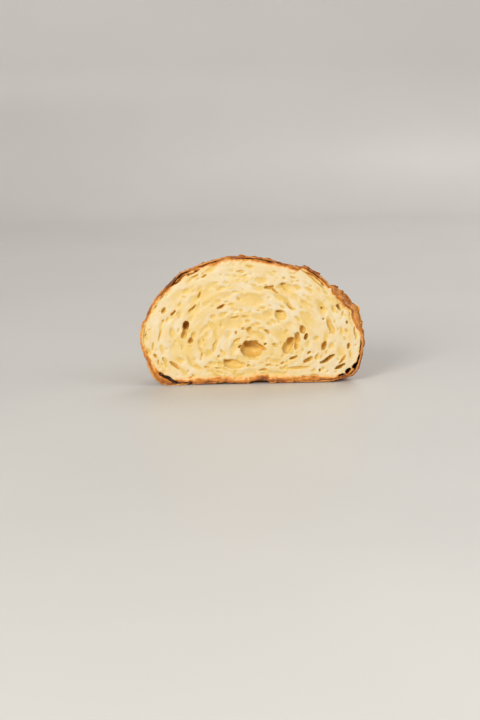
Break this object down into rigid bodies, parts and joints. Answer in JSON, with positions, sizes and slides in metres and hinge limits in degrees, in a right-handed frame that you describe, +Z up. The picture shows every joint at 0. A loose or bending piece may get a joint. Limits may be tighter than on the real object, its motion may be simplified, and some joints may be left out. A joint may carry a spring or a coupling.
{
  "type": "croissant half",
  "caption": "Baked croissant cut straight across its middle: a flat cut face with open air cells, ridged wraps narrowing to a blunt tip, and a flat base.",
  "frame": {"origin": "on the base, under the middle of the bounding box", "axes": "+Z up from the base, +Y along the roll from the cut face to the tip, +X to the right as the cut face is seen"},
  "size_m": [0.0882, 0.08, 0.051],
  "materials": {
    "crust": "baked golden brown, egg-washed, satin",
    "crumb": "soft cream crumb, matt"
  },
  "bodies": {
    "root": {"croissant_half": "crust"}
  },
  "joints": []
}
